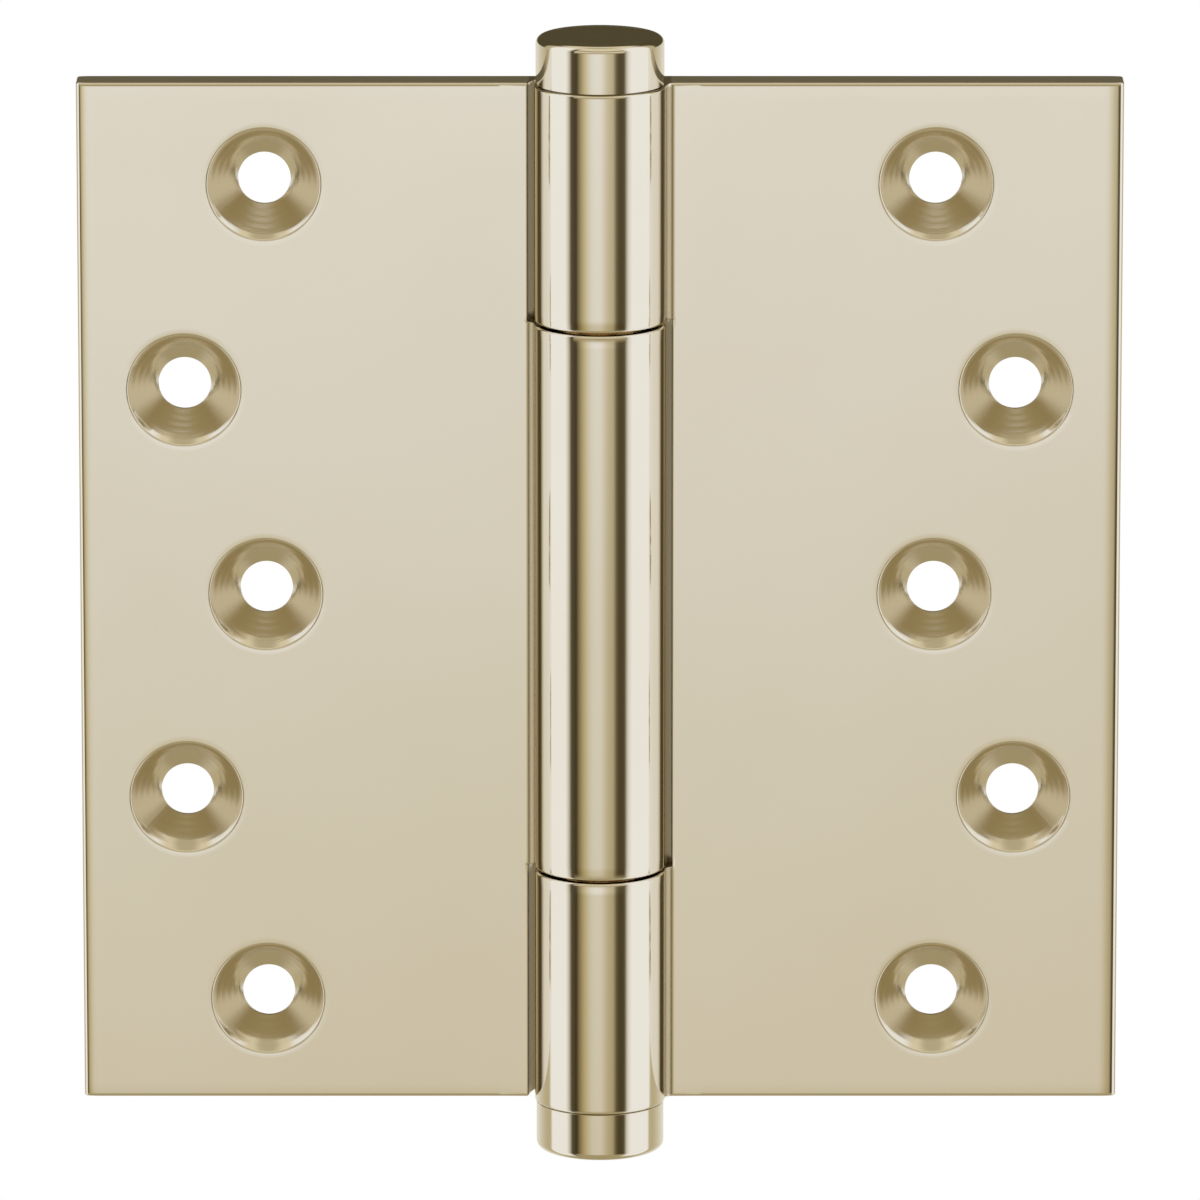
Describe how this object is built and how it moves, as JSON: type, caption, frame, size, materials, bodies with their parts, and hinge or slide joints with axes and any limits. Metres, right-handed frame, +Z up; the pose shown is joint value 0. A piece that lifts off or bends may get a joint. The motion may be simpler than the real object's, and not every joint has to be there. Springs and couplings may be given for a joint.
{
  "type": "door hinge",
  "caption": "Square-cornered butt hinge in polished nickel on solid brass, with knuckles on concealed ball bearings, flat button tips and countersunk screw holes.",
  "frame": {"origin": "on the pin axis, halfway up the hinge", "axes": "+Z up along the pin, the hinge lies open flat in XZ, the screw faces look along -Y, the frame leaf is at +X and the door leaf at -X"},
  "size_m": [0.127, 0.016, 0.139],
  "materials": {
    "polished_nickel": "solid brass, polished and nickel plated",
    "pin_steel": "ground stainless steel",
    "bearing_steel": "hardened, ground and polished steel",
    "dark_steel": "black oxide steel",
    "bronze": "turned bronze"
  },
  "bodies": {
    "frame_side": {"frame_leaf": "polished_nickel", "hinge_pin": "pin_steel", "tip_top": "polished_nickel", "tip_bottom": "polished_nickel", "pin_sleeve_top": "pin_steel", "pin_sleeve_bottom": "pin_steel", "pin_lock_screw_top": "dark_steel", "pin_lock_screw_bottom": "dark_steel", "frame_race_upper": "bearing_steel", "frame_race_lower": "bearing_steel"},
    "door_side": {"door_leaf": "polished_nickel", "bearing_bush_upper": "bronze", "bearing_bush_lower": "bronze", "spacer_tube": "pin_steel", "door_race_upper": "bearing_steel", "door_race_lower": "bearing_steel"},
    "upper_ball_set": {"ball_cage_upper": "bronze", "bearing_balls_upper": "bearing_steel"},
    "lower_ball_set": {"ball_cage_lower": "bronze", "bearing_balls_lower": "bearing_steel"}
  },
  "joints": [
    {"name": "leaf_swing", "type": "hinge", "parent": "frame_side", "child": "door_side", "pos_m": [0, 0, 0], "axis": [0, 0, 1], "range_deg": [-95, 180]},
    {"name": "upper_ball_orbit", "type": "hinge", "parent": "frame_side", "child": "upper_ball_set", "pos_m": [0, 0, 0.03415], "axis": [0, 0, 1], "range_deg": [-47.5, 90]},
    {"name": "lower_ball_orbit", "type": "hinge", "parent": "frame_side", "child": "lower_ball_set", "pos_m": [0, 0, -0.03415], "axis": [0, 0, 1], "range_deg": [-47.5, 90]}
  ],
  "couplings": [
    {"joint": "upper_ball_orbit", "follows": "leaf_swing", "ratio": 0.5},
    {"joint": "lower_ball_orbit", "follows": "leaf_swing", "ratio": 0.5}
  ]
}
